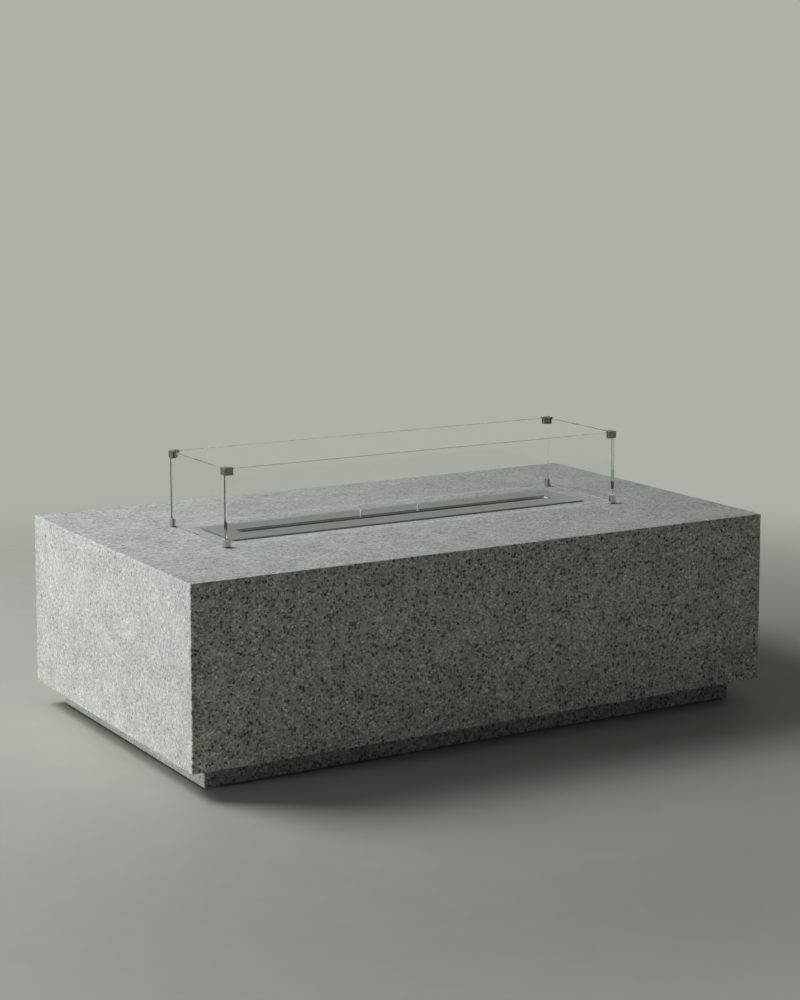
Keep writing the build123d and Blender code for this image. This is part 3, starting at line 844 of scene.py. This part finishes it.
def paleFloor():
    spin = np.linspace(0.0, 2 * math.pi, floorLook["spokes"], endpoint=False)
    reach = np.array(floorLook["rings"])[:, None]
    across, along = reach * np.cos(spin), reach * np.sin(spin)
    points = np.stack([across, along, np.zeros_like(across)], axis=-1)
    material, tree, shader, place = startMaterial("paleFloor")
    path = addNode(tree, "LightPath").outputs
    sides = addNode(tree, "SeparateXYZ")
    feed(tree, sides.inputs[0], place)
    leftShare = ease(tree, sides.outputs[0], *floorLook["leftEdge"])
    bounce = mixColour(tree, leftShare, floorLook["bounce"], floorLook["leftBounce"])
    shown = mottled(tree, place, floorLook)["Colour"]
    feed(tree, shader.inputs["Base Color"], mixColour(tree, seenBy(tree, path), bounce, shown))
    shader.inputs["Roughness"].default_value = floorLook["rough"]
    shader.inputs["Specular IOR Level"].default_value = floorLook["gloss"]
    far = addNode(tree, "VectorMath", operation="LENGTH")
    feed(tree, far.inputs[0], place)
    gone = ease(tree, far.outputs["Value"], *floorLook["fade"])
    direct = calc(tree, "MAXIMUM", path["Is Camera Ray"], path["Is Transmission Ray"])
    clear = addNode(tree, "BsdfTransparent")
    blendShaders(tree, calc(tree, "MULTIPLY", direct, gone), shader, clear, "Material Output")
    mesh = gridMesh("pale_floor", points)
    placeMesh(mesh, material)


paleFloor()

# Background: one colour where the camera, a mirror or glass shows it, and a fill light that grows from the
# horizon up.
background = dict(
    colour=(0.43, 0.435, 0.39, 1.0),
    fill=(0.09, 0.0922, 0.084, 1.0),
    lowest=0.10,  # strength of the fill light at the horizon
    full=0.75,  # height, against straight up, at which it is whole
)


def paleWorld():
    world = bpy.data.worlds.new("softWorld")
    bpy.context.scene.world = world
    world.use_nodes = True
    tree = world.node_tree
    shown = tree.nodes["Background"]
    shown.inputs["Color"].default_value = background["colour"]
    fill = addNode(tree, "Background")
    fill.inputs["Color"].default_value = background["fill"]
    towards = addNode(tree, "SeparateXYZ")
    feed(tree, towards.inputs[0], addNode(tree, "TexCoord").outputs["Generated"])
    strength = ease(tree, towards.outputs[2], 0.0, background["full"], background["lowest"], 1.0)
    feed(tree, fill.inputs["Strength"], strength)
    path = addNode(tree, "LightPath").outputs
    blendShaders(tree, seenBy(tree, path), fill, shown, "World Output")


paleWorld()

# Lamps: only a mirrored one shows in shiny pieces
coolWhite = (0.966, 0.988, 1.0)
warmWhite = (1.0, 1.0, 0.97)
keyLamp = dict(place=(-2.1, 1.65, 3.0), aim=(-0.2, 0.0, 0.3), size=(1.8, 1.8), power=148.0,
               colour=coolWhite, mirrored=True)
sideLamp = dict(place=(-4.0, -0.05, 0.28), aim=(0.0, -0.05, 0.25), size=(0.7, 0.5), power=68.0,
                colour=coolWhite, mirrored=False)
frontLamp = dict(place=(1.5, -5.0, 1.0), aim=(0.0, 0.0, 0.3), size=(3.0, 1.6), power=3.0,
                 colour=warmWhite, mirrored=False)


def softLamp(name, look):
    lamp = bpy.data.lights.new(name, "AREA")
    lamp.shape = "RECTANGLE"
    lamp.size, lamp.size_y = look["size"]
    lamp.energy = look["power"]
    lamp.color = look["colour"]
    holder = bpy.data.objects.new(name, lamp)
    holder.location = look["place"]
    holder.visible_glossy = look["mirrored"]
    holder.visible_transmission = False
    towards = Vector(look["aim"]) - Vector(look["place"])
    holder.rotation_euler = towards.to_track_quat("-Z", "Y").to_euler()
    bpy.context.scene.collection.objects.link(holder)


for name, look in (("keyLamp", keyLamp), ("sideLamp", sideLamp), ("frontLamp", frontLamp)):
    softLamp(name, look)
print("floor, background and lamps placed")

cameraView = dict(
    place=(-2.43585, -4.12225, 1.33871),
    turn=-30.62,  # degrees
    tilt=6.62,
    sensor=36.0,  # millimetres
    lens=79.893,
    shift=-0.15,
)
paneBounces = 40  # enough to follow light along a short pane


def placeCamera():
    data = bpy.data.cameras.new("photoCamera")
    data.sensor_width = cameraView["sensor"]
    data.lens = cameraView["lens"]
    data.shift_y = cameraView["shift"]
    camera = bpy.data.objects.new("photoCamera", data)
    camera.location = cameraView["place"]
    upwards = math.radians(90.0 - cameraView["tilt"])
    camera.rotation_euler = (upwards, 0.0, math.radians(cameraView["turn"]))
    bpy.context.scene.collection.objects.link(camera)
    bpy.context.scene.camera = camera


placeCamera()
bpy.context.scene.view_settings.view_transform = "Standard"
for limit in ("max_bounces", "glossy_bounces", "transmission_bounces"):
    setattr(bpy.context.scene.cycles, limit, paneBounces)
print("camera placed")
